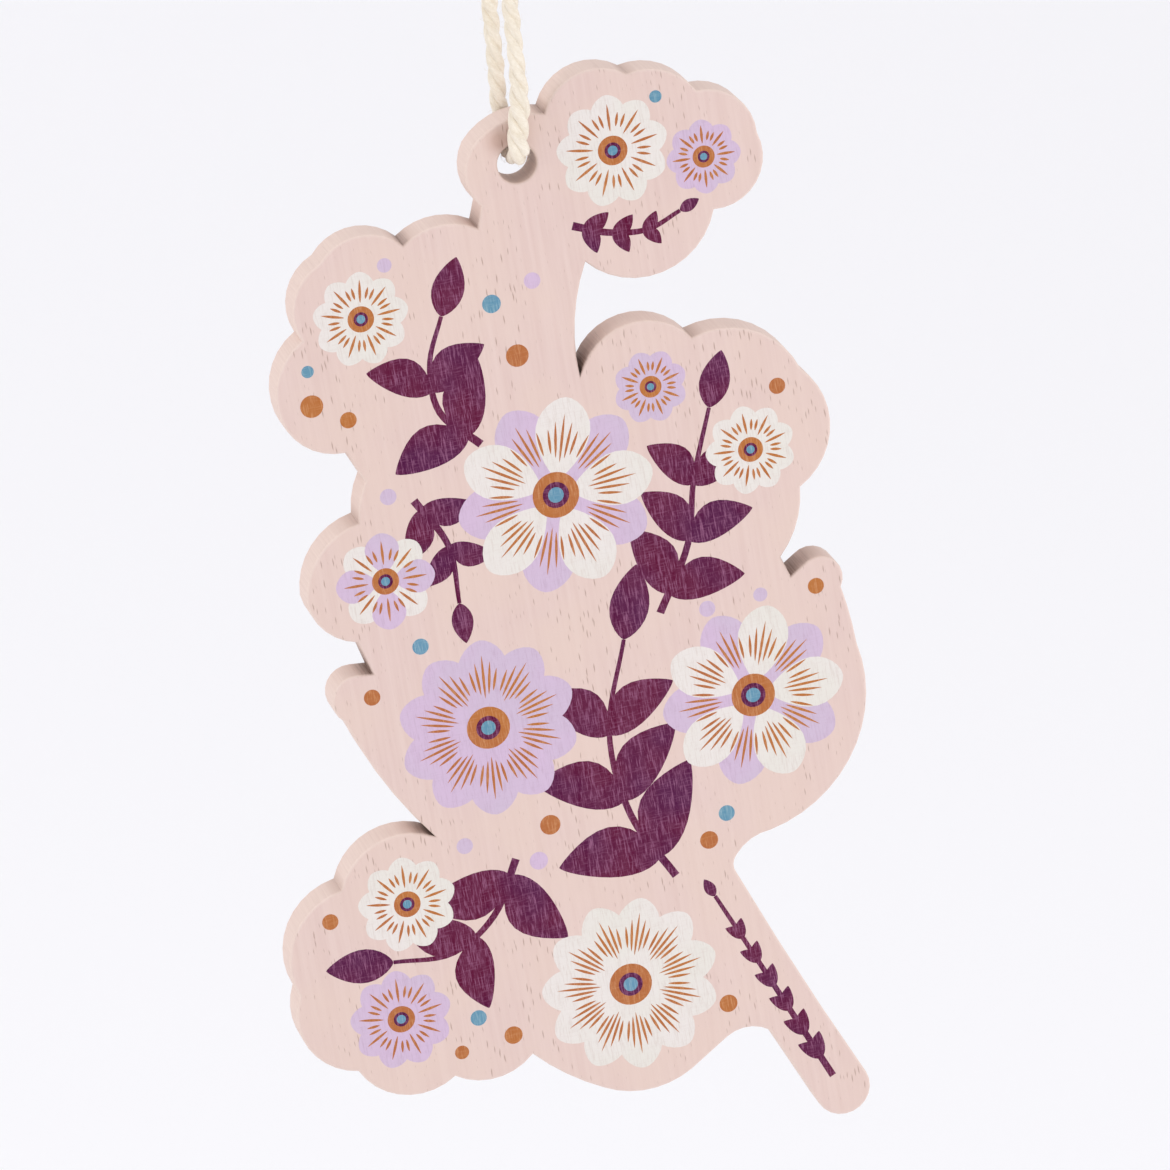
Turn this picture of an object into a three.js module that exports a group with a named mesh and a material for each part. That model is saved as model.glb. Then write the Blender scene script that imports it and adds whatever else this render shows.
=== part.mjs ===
// A flower-shaped hanging tag: a lobed plywood board on a loop of twine.
// Millimetres, +Z up, front face towards -Y. The origin is the place inside the top
// of the loop, just under its knot, where a hook or a finger carries the tag.

import * as THREE from 'three';

// Board
const BOARD_WIDTH = 59;
const BOARD_HEIGHT = 108.2;
const BOARD_THICKNESS = 4;
const VENEER_THICKNESS = 1.1;
const ARRIS = 0.3;
const HOLE_DIAMETER = 3.7;
const HOLE_SIDES = 40;
const ARC_SAGITTA = 0.03;
const MITRE_LIMIT = 1.5;

// Twine, and the drop from its carrying point to the centre of the board's hole
const TWINE_DIAMETER = 1.6;
const TWINE_SIDES = 8;
const TWINE_STEP = 4;
const BIGHT_STEP = 0.6;
const HANG_DROP = 66;

// Knot
const KNOT_BOTTOM = 0.4;
const KNOT_HEIGHT = 6.4;
const KNOT_RADIUS = 3.3;
const KNOT_ROUNDING = 2.2;
const KNOT_SEGMENTS = 24;
const ROUNDING_STEPS = 6;

// The twine's route: down in front, through the hole, up behind, and the two tails.
// Its stretches lie 0.3 apart end to end, and as far from the knot.
const FRONT_UPPER_ROUTE = [
  [0.3, -1.05, 0.1], [0.32, -1.5, -0.8], [0.4, -2.1, -2.6], [0.5, -2.45, -5.5], [0.65, -2.8, -13],
  [0.75, -3.1, -26], [0.75, -3.1, -32],
];
const FRONT_LOWER_ROUTE = [
  [0.75, -3.1, -32.3], [0.8, -3.1, -50], [0.75, -3.1, -58.7], [0.55, -3.1, -60.8],
  [0.2, -3.1, -62.6], [0.16, -3.1, -63.2],
];
const BIGHT_ROUTE = [
  [0.15, -3.1, -63.5], [0.15, -2.98, -64.26], [0.15, -2.63, -64.78], [0.14, -2.11, -65.13],
  [0.12, -1.5, -65.25], [0.05, 0, -65.25], [-0.02, 1.5, -65.25], [-0.04, 2.11, -65.13],
  [-0.05, 2.63, -64.78], [-0.05, 2.98, -64.26], [-0.05, 3.1, -63.5],
];
const REAR_LOWER_ROUTE = [
  [-0.06, 3.1, -63.2], [-0.08, 3.1, -61], [0, 3.1, -58], [0.07, 3.1, -50], [0.05, 3.1, -32.3],
];
const REAR_UPPER_ROUTE = [
  [0.05, 3.1, -32], [0.05, 3.1, -26], [0, 2.8, -13], [-0.1, 2.45, -5.5], [-0.2, 2.1, -2.6],
  [-0.28, 1.5, -0.8], [-0.3, 1.05, 0.1],
];
const TAIL_1_ROUTE = [[1.1, -0.3, 7.1], [1.25, -0.5, 9.2], [1.9, -0.9, 12.3], [3.3, -1.2, 15.6]];
const TAIL_2_ROUTE = [[-1.1, 0.3, 7.1], [-1.3, 0.6, 9.2], [-2, 1.1, 11.6], [-3.3, 1.4, 13.7]];

// The lobed edge, clockwise as the front is seen, from the hole's centre, drawn in millimetres
// and then stretched to the board's width and height.
// Each row ends one stretch: x, z, and how far its arc rises outwards (0 is straight).
const EDGE = [
  // top flower
  [11.3, 6.9, 2.1], [17.8, 4.2, 1.15], [23.2, -0.8, 1.6], [18.3, -7.5, 2.35], [5.5, -10.5, 3.85],
  // neck down to the deepest notch
  [3.8, -21.4, -0.75],
  // right flower
  [14.9, -19.5, 3.35], [25.1, -24.4, 2.3], [23.9, -36, 2.95], [21.3, -42.6, 0.65], [22.1, -44.6, 0],
  // right leaf: its blunt tip, long bulging side and the crook beside the stem
  [23.4, -43.7, 0], [26.9, -46.6, 1.9], [27.9, -52.5, 0.12], [17.6, -69.8, 4.35], [14, -71.7, -0.45],
  [13.8, -73.5, -0.3],
  // stem with its round end
  [24.6, -96.4, -0.2], [19.6, -98.8, 2.75], [15.4, -90.2, 0],
  // lower leaf
  [11.2, -90.1, -0.65], [7.4, -92.7, 0], [-1.5, -93, 1.2], [-8.1, -88.2, 0.35],
  // lower left flower
  [-15.9, -89, 1.4], [-25.2, -86.7, 2.2], [-30, -78, 2.45], [-24.8, -68.1, 2.7], [-15.2, -64.3, 2.4],
  // left leaf: its side and blunt tip
  [-22.5, -51.4, 0.6], [-20.8, -47, 1.75], [-19.3, -47.1, 0],
  // middle left flower
  [-20.3, -43.8, 0], [-24.7, -39.3, 1], [-18.9, -32.1, 1.65], [-17.8, -28.2, 0.25], [-19.3, -25.1, 0],
  // upper left flower
  [-25.2, -20, 1.55], [-22.2, -13.6, 1.05], [-19.7, -6.5, 1.6], [-11.6, -6, 1.85], [-4.4, -5.5, 1.1],
  // lobe round the hole
  [-3.8, -3.6, 0], [-4.3, 2, 0.95], [3.1, 4.4, 1.15],
];

const paintedWood = { color: 0xead3c9, roughness: 0.75, metalness: 0 };
const bareWood = { color: 0xd9bb8f, roughness: 0.8, metalness: 0 };
const twineFibre = { color: 0xeee4d0, roughness: 0.95, metalness: 0 };

// The points of one stretch of the edge, from start (left out) to end, on a circular arc.
function arcPoints(start, end, rise) {
  const chord = end.clone().sub(start);
  const half = chord.length() / 2;
  if (rise === 0) return [end];
  const radius = (half * half + rise * rise) / (2 * Math.abs(rise));
  const sweep = 4 * Math.atan2(rise, half);
  const step = 2 * Math.acos(1 - ARC_SAGITTA / radius);
  const count = Math.max(2, Math.ceil(Math.abs(sweep) / step));
  const outward = new THREE.Vector2(-chord.y, chord.x).normalize();
  const middle = start.clone().add(end).multiplyScalar(0.5);
  const centre = middle.addScaledVector(outward, rise - Math.sign(rise) * radius);
  const points = [];
  for (let i = 1; i < count; i++) {
    points.push(start.clone().rotateAround(centre, -(sweep * i) / count));
  }
  points.push(end);
  return points;
}

function edgeOutline() {
  const corners = EDGE.map(([x, z]) => new THREE.Vector2(x, z));
  const drawn = EDGE.flatMap(([, , rise], i) => arcPoints(corners.at(i - 1), corners[i], rise));
  const size = new THREE.Box2().setFromPoints(drawn).getSize(new THREE.Vector2());
  const stretch = new THREE.Vector2(BOARD_WIDTH, BOARD_HEIGHT).divide(size);
  return drawn.map((point) => point.clone().multiply(stretch));
}

function roundOutline(diameter, sides) {
  return new THREE.EllipseCurve(0, 0, diameter / 2, diameter / 2).getPoints(sides).slice(0, sides);
}

// Moves each point of a closed outline by a distance along the mean normal of its two sides.
function shifted(outline, distance) {
  return outline.map((point, i) => {
    const before = point.clone().sub(outline.at(i - 1)).normalize();
    const after = outline[(i + 1) % outline.length].clone().sub(point).normalize();
    const normal = new THREE.Vector2(after.y + before.y, -(after.x + before.x)).normalize();
    const mitre = 1 / Math.sqrt((1 + before.dot(after)) / 2);
    return point.clone().addScaledVector(normal, distance * Math.min(mitre, MITRE_LIMIT));
  });
}

// A flat sheet with a hole, closed by its rings: each ring is a depth y and an inset.
function sheetGeometry(rings) {
  const edge = edgeOutline();
  const hole = roundOutline(HOLE_DIAMETER, HOLE_SIDES);
  const loops = rings.map(({ y, inset }) => ({
    y, edge: shifted(edge, inset), hole: shifted(hole, inset),
  }));
  const positions = [];
  const triangle = (a, b, c) => positions.push(...a, ...b, ...c);
  const at = (point, y) => [point.x, y, point.y];
  const wall = (near, far, nearY, farY) => {
    near.forEach((point, i) => {
      const j = (i + 1) % near.length;
      triangle(at(point, nearY), at(near[j], nearY), at(far[i], farY));
      triangle(at(near[j], nearY), at(far[j], farY), at(far[i], farY));
    });
  };
  for (let k = 0; k + 1 < loops.length; k++) {
    wall(loops[k].edge, loops[k + 1].edge, loops[k].y, loops[k + 1].y);
    wall(loops[k].hole, loops[k + 1].hole, loops[k].y, loops[k + 1].y);
  }
  const cap = ({ y, edge: rim, hole: mouth }, front) => {
    const points = [...rim, ...mouth];
    for (const corners of THREE.ShapeUtils.triangulateShape(rim, [mouth])) {
      const face = corners.map((i) => points[i]);
      const facesFront = THREE.ShapeUtils.area(face) > 0;
      if (facesFront !== front) face.reverse();
      triangle(...face.map((point) => at(point, y)));
    }
  };
  cap(loops[0], true);
  cap(loops.at(-1), false);
  const geometry = new THREE.BufferGeometry();
  geometry.setAttribute('position', new THREE.Float32BufferAttribute(positions, 3));
  geometry.computeVertexNormals();
  return geometry;
}

function namedMesh(name, geometry, finish) {
  const mesh = new THREE.Mesh(geometry, new THREE.MeshStandardMaterial(finish));
  mesh.name = name;
  return mesh;
}

function board() {
  const face = BOARD_THICKNESS / 2;
  const glue = face - VENEER_THICKNESS;
  const group = new THREE.Group();
  group.position.z = -HANG_DROP;
  group.add(
    namedMesh('front_veneer', sheetGeometry([
      { y: -face, inset: ARRIS }, { y: -face + ARRIS, inset: 0 }, { y: -glue, inset: 0 },
    ]), paintedWood),
    namedMesh('core_veneer', sheetGeometry([
      { y: -glue, inset: 0 }, { y: glue, inset: 0 },
    ]), bareWood),
    namedMesh('back_veneer', sheetGeometry([
      { y: glue, inset: 0 }, { y: face - ARRIS, inset: 0 }, { y: face, inset: ARRIS },
    ]), paintedWood),
  );
  return group;
}

// A length of twine with square ends along a smooth curve through the points of its route.
function twine(name, route, step) {
  const curve = new THREE.CatmullRomCurve3(route.map((point) => new THREE.Vector3(...point)));
  const section = new THREE.Shape(roundOutline(TWINE_DIAMETER, TWINE_SIDES));
  const steps = Math.round(curve.getLength() / step);
  const geometry = new THREE.ExtrudeGeometry(section, { steps, extrudePath: curve });
  return namedMesh(name, geometry, twineFibre);
}

// The knot's outer shape: a barrel with well-rounded ends.
function knot() {
  const shoulder = (height, from, to) => new THREE.EllipseCurve(
    KNOT_RADIUS - KNOT_ROUNDING, height, KNOT_ROUNDING, KNOT_ROUNDING, from, to,
  ).getPoints(ROUNDING_STEPS);
  const profile = [
    new THREE.Vector2(0, 0),
    ...shoulder(KNOT_ROUNDING, -Math.PI / 2, 0),
    ...shoulder(KNOT_HEIGHT - KNOT_ROUNDING, 0, Math.PI / 2),
    new THREE.Vector2(0, KNOT_HEIGHT),
  ];
  const geometry = new THREE.LatheGeometry(profile, KNOT_SEGMENTS);
  const barrel = namedMesh('twine_knot', geometry, twineFibre);
  barrel.rotation.x = Math.PI / 2;
  barrel.position.z = KNOT_BOTTOM;
  return barrel;
}

const tag = new THREE.Group();
tag.add(
  board(),
  twine('twine_front_upper', FRONT_UPPER_ROUTE, TWINE_STEP),
  twine('twine_front_lower', FRONT_LOWER_ROUTE, TWINE_STEP),
  twine('twine_bight', BIGHT_ROUTE, BIGHT_STEP),
  twine('twine_rear_lower', REAR_LOWER_ROUTE, TWINE_STEP),
  twine('twine_rear_upper', REAR_UPPER_ROUTE, TWINE_STEP),
  knot(),
  twine('twine_tail_1', TAIL_1_ROUTE, TWINE_STEP),
  twine('twine_tail_2', TAIL_2_ROUTE, TWINE_STEP),
);

export default tag;
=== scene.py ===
# %% [markdown]
# A flat wooden hanging tag, cut to the outline of a flower cluster, on a knotted loop of
# twisted twine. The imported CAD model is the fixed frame: it holds the place and size of every
# piece. This script dresses it: twine with its real twist, a tied knot, a painted board with
# soft edges and laser scorch, and a printed pattern.

# %% Load the frame
import math

import bmesh
import bpy
import numpy as np
from mathutils import Matrix, Vector
from mathutils.geometry import delaunay_2d_cdt


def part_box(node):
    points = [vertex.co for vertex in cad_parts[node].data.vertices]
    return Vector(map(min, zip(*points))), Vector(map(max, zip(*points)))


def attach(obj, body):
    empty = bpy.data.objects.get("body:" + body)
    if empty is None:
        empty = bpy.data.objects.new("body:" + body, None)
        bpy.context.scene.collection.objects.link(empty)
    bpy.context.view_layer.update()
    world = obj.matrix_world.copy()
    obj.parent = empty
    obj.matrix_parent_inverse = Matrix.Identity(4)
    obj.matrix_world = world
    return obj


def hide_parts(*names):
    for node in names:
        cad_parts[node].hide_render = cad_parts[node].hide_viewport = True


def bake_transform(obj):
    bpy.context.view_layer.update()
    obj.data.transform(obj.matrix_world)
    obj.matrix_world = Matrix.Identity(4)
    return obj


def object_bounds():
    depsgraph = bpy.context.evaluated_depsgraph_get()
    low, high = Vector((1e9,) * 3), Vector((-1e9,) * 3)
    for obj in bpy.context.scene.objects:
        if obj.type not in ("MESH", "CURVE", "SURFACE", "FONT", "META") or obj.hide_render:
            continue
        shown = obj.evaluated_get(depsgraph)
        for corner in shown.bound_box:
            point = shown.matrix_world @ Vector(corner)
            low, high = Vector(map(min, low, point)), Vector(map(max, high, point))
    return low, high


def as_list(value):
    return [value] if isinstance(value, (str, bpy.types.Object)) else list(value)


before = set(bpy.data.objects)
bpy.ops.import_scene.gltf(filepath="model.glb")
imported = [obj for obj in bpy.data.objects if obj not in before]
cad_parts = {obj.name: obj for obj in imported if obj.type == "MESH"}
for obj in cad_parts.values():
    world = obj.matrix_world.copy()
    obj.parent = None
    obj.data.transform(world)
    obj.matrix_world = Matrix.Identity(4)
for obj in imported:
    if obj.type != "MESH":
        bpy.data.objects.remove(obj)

MM = 0.001
cad_low, cad_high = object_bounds()
print("CAD box, mm:", [round(side / MM, 1) for side in cad_high - cad_low])

# %% [markdown]
# Small helpers come first. Colours are chosen as sRGB hex values, as a painter would pick them
# on a screen, and Blender wants linear light, so one function converts them. Another adds a
# shader or geometry node with its settings and its links in one line.

# %% Helpers for colours, nodes and objects
def linear(hex_colour):
    """A #rrggbb colour as linear red, green, blue and a full alpha."""
    parts = [int(hex_colour[i:i + 2], 16) / 255 for i in (1, 3, 5)]
    light = [c / 12.92 if c <= 0.04045 else ((c + 0.055) / 1.055) ** 2.4 for c in parts]
    return (*light, 1.0)


def add_node(tree, kind, inputs=None, **settings):
    """Adds a node. Each input is a plain value or another node's output socket."""
    node = tree.nodes.new(kind)
    for name, value in settings.items():
        setattr(node, name, value)
    for key, value in (inputs or {}).items():
        if isinstance(value, bpy.types.NodeSocket):
            tree.links.new(value, node.inputs[key])
        else:
            node.inputs[key].default_value = value
    return node


def result(tree, kind, inputs=None, **settings):
    """Adds a node and gives its first output."""
    return add_node(tree, kind, inputs, **settings).outputs[0]


def new_object(name, data):
    made = bpy.data.objects.new(name, data)
    bpy.context.scene.collection.objects.link(made)
    return made


def baked(source, name):
    """The evaluated result of an object's modifiers as a plain mesh object; the source goes."""
    graph = bpy.context.evaluated_depsgraph_get()
    mesh = bpy.data.meshes.new_from_object(source.evaluated_get(graph), depsgraph=graph,
                                           preserve_all_data_layers=True)
    bpy.data.objects.remove(source)
    return new_object(name, mesh)


# %% [markdown]
# The camera looks down on the tag from its left, through a long lens, and the picture is turned
# a little, so that the hanging twine leans to the left. The numbers were worked out from the
# photograph: the board's thickness shows on its top and left edges everywhere by nearly the
# same amount, which fixes both angles, and the change from top to bottom fixes the distance.

# %% Camera
VIEW_AZIMUTH = math.radians(-11.2)
VIEW_ELEVATION = math.radians(18.2)
VIEW_ROLL = math.radians(6.3)
VIEW_DISTANCE = 750 * MM
VIEW_TARGET = Vector((2.43, 0, -108.61)) * MM
PICTURE_WIDTH = 1170
PIXELS_PER_METRE = 10.5 / MM
FILM_WIDTH = 36

camera_data = bpy.data.cameras.new("camera")
camera_data.sensor_width = FILM_WIDTH
camera_data.lens = PIXELS_PER_METRE * VIEW_DISTANCE / PICTURE_WIDTH * FILM_WIDTH
camera_data.clip_start = 0.05
camera_data.clip_end = 20
camera = new_object("camera", camera_data)
camera.matrix_world = (
    Matrix.Translation(VIEW_TARGET) @ Matrix.Rotation(VIEW_AZIMUTH, 4, "Z")
    @ Matrix.Rotation(math.pi / 2 - VIEW_ELEVATION, 4, "X")
    @ Matrix.Translation((0, 0, VIEW_DISTANCE)) @ Matrix.Rotation(-VIEW_ROLL, 4, "Z"))
bpy.context.scene.camera = camera
print("lens, mm:", round(camera_data.lens, 1))

# %% [markdown]
# The twine is a cord, so its route comes straight after the camera. The points are the ones
# the CAD model follows, in hundredths of a millimetre, from the knot down in front, through
# the hole and up behind. A Catmull-Rom curve makes them one smooth line.

# %% The twine's route
TWINE_DIAMETER = 1.6 * MM
HUNDREDTHS_PER_METRE = 1e5
FRONT_UPPER_ROUTE = np.array([
    (30, -105, 10), (32, -150, -80), (40, -210, -260), (50, -245, -550), (65, -280, -1300),
    (75, -310, -2600), (75, -310, -3200),
]) / HUNDREDTHS_PER_METRE
LOWER_ROUTE = np.array([
    (75, -310, -3230), (80, -310, -5000), (75, -310, -5870), (55, -310, -6080),
    (20, -310, -6260), (16, -310, -6320),
    (15, -310, -6350), (15, -298, -6426), (15, -263, -6478), (14, -211, -6513),
    (12, -150, -6525), (5, 0, -6525), (-2, 150, -6525), (-4, 211, -6513),
    (-5, 263, -6478), (-5, 298, -6426), (-5, 310, -6350),
    (-6, 310, -6320), (-8, 310, -6100), (0, 310, -5800), (7, 310, -5000), (5, 310, -3230),
]) / HUNDREDTHS_PER_METRE
REAR_UPPER_ROUTE = np.array([
    (5, 310, -3200), (5, 310, -2600), (0, 280, -1300), (-10, 245, -550), (-20, 210, -260),
    (-28, 150, -80), (-30, 105, 10),
]) / HUNDREDTHS_PER_METRE


def between(first, start, last, end, t):
    """The point at t on the way from first, at start, to last, at end."""
    return (first * (end - t) + last * (t - start)) / (end - start)


def smooth_line(points, spacing=0.1 * MM):
    """Evenly spaced points of a Catmull-Rom curve through the given ones."""
    p = np.array(points, float)
    p = np.vstack([2 * p[0] - p[1], p, 2 * p[-1] - p[-2]])
    line = [p[1]]
    for a, b, c, d in zip(p, p[1:], p[2:], p[3:]):
        t0, t1, t2, t3 = np.cumsum([0] + [np.linalg.norm(v) ** 0.5 for v in (a - b, b - c, c - d)])
        for t in np.linspace(t1, t2, max(3, int(np.linalg.norm(c - b) / spacing)))[1:]:
            bc = between(b, t1, c, t2, t)
            abc = between(between(a, t0, b, t1, t), t0, bc, t2, t)
            bcd = between(bc, t1, between(c, t2, d, t3, t), t3, t)
            line.append(between(abc, t1, bcd, t2, t))
    return np.array(line)


def line_length(line):
    return float(np.linalg.norm(np.diff(line, axis=0), axis=1).sum())


# %% [markdown]
# The two ends of the twine are tied together in one overhand knot. Nobody draws such a knot
# well by hand, so it is tied here as it is on a table: a wide, loose overhand loop of both
# ends is laid out, and its far ends are then pulled, a little at each step. Between steps
# every strand pushes away the strands that it would sink into, and stiffness rounds its bends.
# After some hundred steps the knot has pulled itself tight.

# %% Tie the knot
KNOT_POINTS = 96
KNOT_STEPS = 420
KNOT_REACH = 16 * MM
KNOT_TAKE_UP = 14 * MM
PULL_START = 6 * MM
PULLING_SHARE = 0.7
STRETCH_ROUNDS = 10
STRETCH_FIX = 0.48
BEND_STIFFNESS = 0.15
PUSH_ROUNDS = 2
PUSH_FORCE = 0.45
LOOSE_POINTS = 400
LOOSE_SPAN = 2.08
LOOSE_SIZE = (2.6, 0.95, 4.6)
STRANDS_APART = 0.55
TAIL_ROUTES = np.array([
    [(110, 20, 960), (190, -60, 1230), (330, -120, 1560)],
    [(-240, 20, 940), (-250, 90, 1160), (-330, 140, 1370)],
]) / HUNDREDTHS_PER_METRE


def distances(points):
    """How much of a polyline lies before each of its points."""
    return np.r_[0, np.cumsum(np.linalg.norm(np.diff(points, axis=0), axis=1))]


def evenly(points, count):
    """The same polyline with count evenly spaced points."""
    far = distances(points)
    wanted = np.linspace(0, far[-1], count)
    return np.stack([np.interp(wanted, far, points[:, k]) for k in range(3)], axis=1)


def unit(rows):
    return rows / np.linalg.norm(rows, axis=1)[:, None]


def carried_side(line):
    """A unit vector square to the line at each point, carried along it without twisting."""
    side, sides = np.array([1.0, 0, 0]), []
    for t in unit(np.gradient(line, axis=0)):
        side = side - t * side.dot(t)
        side /= np.linalg.norm(side)
        sides.append(side)
    return np.array(sides)


def loose_overhand():
    """Both strands of a wide overhand loop, side by side, with straight leads."""
    t = np.linspace(-LOOSE_SPAN, LOOSE_SPAN, LOOSE_POINTS)
    wide, deep, tall = LOOSE_SIZE
    middle = np.stack([wide * (t**4 - 4 * t**2 + 1.2), deep * (t**5 - 10 * t),
                       tall * (t**3 - 3 * t)], axis=1) * MM
    beside = carried_side(middle) * STRANDS_APART * TWINE_DIAMETER
    low = np.array([(0.0003, -0.00085, -KNOT_REACH), (-0.0003, 0.00085, -KNOT_REACH)])
    high = np.array([(0.0009, -0.0003, KNOT_REACH), (-0.0009, 0.0003, KNOT_REACH)])
    lead = np.array([0, 0, PULL_START])
    strands = [evenly(np.vstack([low[k] - lead, middle + way * beside, high[k] + lead]), KNOT_POINTS)
               for k, way in enumerate((-1, 1))]
    return np.array(strands), low, high


def pulled_tight():
    """The same two strands after every step of the pull."""
    strands, low, high = loose_overhand()
    loose = np.linalg.norm(np.diff(strands, axis=1), axis=2).sum(axis=1)
    tight = 2 * KNOT_REACH + KNOT_TAKE_UP
    order = np.tile(np.arange(KNOT_POINTS), 2)
    strand = np.repeat([0, 1], KNOT_POINTS)
    for step in range(KNOT_STEPS):
        pulled = min(1, step / KNOT_STEPS / PULLING_SHARE)
        link = (0.8 * loose * (1 - pulled) + tight * (0.2 + 0.8 * pulled)) / (KNOT_POINTS - 1)
        lead = np.array([0, 0, PULL_START * (1 - pulled)])
        for _ in range(STRETCH_ROUNDS):
            gap = strands[:, 1:] - strands[:, :-1]
            far = np.linalg.norm(gap, axis=2, keepdims=True)
            fix = STRETCH_FIX * (far - link[:, None, None]) * gap / far
            strands[:, :-1] += fix
            strands[:, 1:] -= fix
            strands[:, 0], strands[:, -1] = low - lead, high + lead
        curve = strands[:, :-2] + strands[:, 2:] - 2 * strands[:, 1:-1]
        strands[:, 1:-1] += BEND_STIFFNESS * curve
        near = math.ceil(1.5 * TWINE_DIAMETER / link.max())
        apart = (strand[:, None] != strand) | (abs(order[:, None] - order) > near)
        for _ in range(PUSH_ROUNDS):
            points = strands.reshape(-1, 3)
            gap = points[:, None] - points
            far = np.sqrt((gap ** 2).sum(axis=2)) + 1e-12
            sunk = apart & (far < TWINE_DIAMETER)
            share = np.where(sunk, (TWINE_DIAMETER - far) / far, 0)
            push = (share[:, :, None] * gap).sum(axis=1)
            push /= np.sqrt(np.maximum(sunk.sum(axis=1), 1))[:, None]
            strands = (points + PUSH_FORCE * push).reshape(2, KNOT_POINTS, 3)
    return strands


# %% [markdown]
# The tight knot floats on its own axis. It is turned so that its lower ends lie one before the
# other, as the two hanging strands do, and lifted to where the frame has it. Then its lower
# ends are led smoothly to the tops of the hanging strands, and the tails are added.

# %% Put the knot in its place
KNOT_TURN = math.radians(97.6)
KNOT_SHIFT = np.array([-0.7, 0.48, 3.55]) * MM
LEAN_BELOW = 4 * MM
PART_BELOW = 2.2 * MM
FOOT_GAP = 0.5 * MM
TAILS_ABOVE = 7.6 * MM


def descent(strand, top, foot):
    """How far each point of a strand has come down from top to its foot, eased, 0 to 1."""
    share = np.clip((top - strand[:, 2:]) / (top - foot[2]), 0, 1)
    return share * share * (3 - 2 * share)


def placed_knot():
    c, s = math.cos(KNOT_TURN), math.sin(KNOT_TURN)
    strands = pulled_tight() @ np.array([[c, s, 0], [-s, c, 0], [0, 0, 1]]) + KNOT_SHIFT
    feet = np.array([FRONT_UPPER_ROUTE[0], REAR_UPPER_ROUTE[-1]])
    below = np.array([strand[np.argmax(strand[:, 2] > feet[0, 2])] for strand in strands])
    lean = (feet - below).mean(axis=0) * (1, 1, 0)
    led = []
    for strand, foot, under, tail in zip(strands, feet, below, TAIL_ROUTES):
        strand = strand + lean * descent(strand, LEAN_BELOW, foot)
        own = np.argmax(strand[:, 2] > PART_BELOW)
        apart = (foot - under - lean) * (1, 1, 0)
        strand[:own] += apart * descent(strand[:own], PART_BELOW, foot)
        first = np.argmax(strand[:, 2] > foot[2] + FOOT_GAP)
        last = len(strand) - np.argmax(strand[::-1, 2] < TAILS_ABOVE)
        led.append(smooth_line(np.vstack([foot, strand[first:last:2], tail])))
    return led


front_knot, rear_knot = placed_knot()
print("knot and tails, mm:", (np.ptp(np.vstack([front_knot, rear_knot]), axis=0) / MM).round(1),
      "twine in each end:", [round(line_length(k) / MM, 1) for k in (front_knot, rear_knot)])

# %% [markdown]
# Twine is three thin plies twisted round each other, so each ply winds about the twine's middle
# line. The whole twine, tail to tail, is first one line: each point stores how much twine lies
# before it and a side vector that is carried along without twisting. A third value spreads the
# plies at the two cut ends, and a fourth swells them. Both rise near the hole, where the sharp
# bend slackens the twist, more in front than behind. The line is then cut into the pieces that
# move apart, and because all read the same values, the twist runs on unbroken across the cuts.

# %% The whole twine as one line
TWINE_STEP = 0.16 * MM
SPLAY_REACH = 2.5 * MM
SPLAY = 0.75
SLACK_REACH = 12 * MM
SLACK_FULL = 8 * MM
HALF_BOARD = 2 * MM
FRONT_SLACK = 0.4
REAR_SLACK = 0.1
SWELLING = 0.45
stretches = [
    ("front_knot", front_knot[::-1]),
    ("front", smooth_line(FRONT_UPPER_ROUTE)),
    ("loop", smooth_line([FRONT_UPPER_ROUTE[-1], *LOWER_ROUTE, REAR_UPPER_ROUTE[0]])),
    ("rear", smooth_line(REAR_UPPER_ROUTE)),
    ("rear_knot", rear_knot),
]
stretches = [(name, evenly(line, int(line_length(line) / TWINE_STEP) + 1))
             for name, line in stretches]
whole = np.vstack([stretches[0][1]] + [line[1:] for _, line in stretches[1:]])
before = distances(whole)
side = carried_side(whole)
to_end = np.minimum(before, before[-1] - before)
past_hole = before - before[np.argmin(whole[:, 2])]
slack = np.interp(past_hole, [-SLACK_REACH, -SLACK_FULL, -HALF_BOARD, HALF_BOARD, SLACK_REACH],
                  [0, FRONT_SLACK, FRONT_SLACK, REAR_SLACK, 0])
spread = 1 + SPLAY * np.clip(1 - to_end / SPLAY_REACH, 0, 1) ** 2 + slack
fullness = 1 + SWELLING * slack
cuts = np.cumsum([0] + [len(line) - 1 for _, line in stretches])
parts = {name: slice(cuts[i], cuts[i + 1] + 1) for i, (name, _) in enumerate(stretches)}
print("twine from tail to tail, mm:", round(before[-1] / MM, 1))

# %% [markdown]
# A Geometry Nodes tree turns such a line into twine. It moves a copy of the line round a helix
# for each ply and sweeps a circle along it. Then it scatters short loose fibres over the plies,
# as on any soft twine. Its inputs are the real sizes. It ends by realising its instances,
# because only real mesh is exported, and by giving all of it one material.

# %% Twine tree
TWINE_SIZES = {"Pitch": 6.3 * MM, "Ply radius": 0.46 * MM, "Ply offset": 0.35 * MM,
               "Fibre reach": 0.5 * MM, "Fibres per area": 2.4e6}
PLY_COUNT = 3
PLY_SIDES = 12
LUMPS_PER_METRE = 700.0
PLY_THICKNESS = (0.86, 1.14)
FIBRE_RADIUS = 0.008 * MM
FIBRE_SIDES = 3
FIBRE_BEND = {"Start": (0, 0, 0), "Middle": (0.5, 0.35, 0.25), "End": (1, -0.1, 0.3)}
FIBRE_LENGTHS = (0.3, 1.3)


def calc(tree, operation, *values, **settings):
    return result(tree, "ShaderNodeMath", dict(enumerate(values)), operation=operation, **settings)


def times(tree, first, second):
    return calc(tree, "MULTIPLY", first, second)


def vector_calc(tree, operation, *values):
    return result(tree, "ShaderNodeVectorMath", dict(enumerate(values)), operation=operation)


def scaled(tree, vector, factor):
    return result(tree, "ShaderNodeVectorMath", {0: vector, "Scale": factor}, operation="SCALE")


def combined(tree, **parts):
    return result(tree, "ShaderNodeCombineXYZ", parts)


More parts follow.
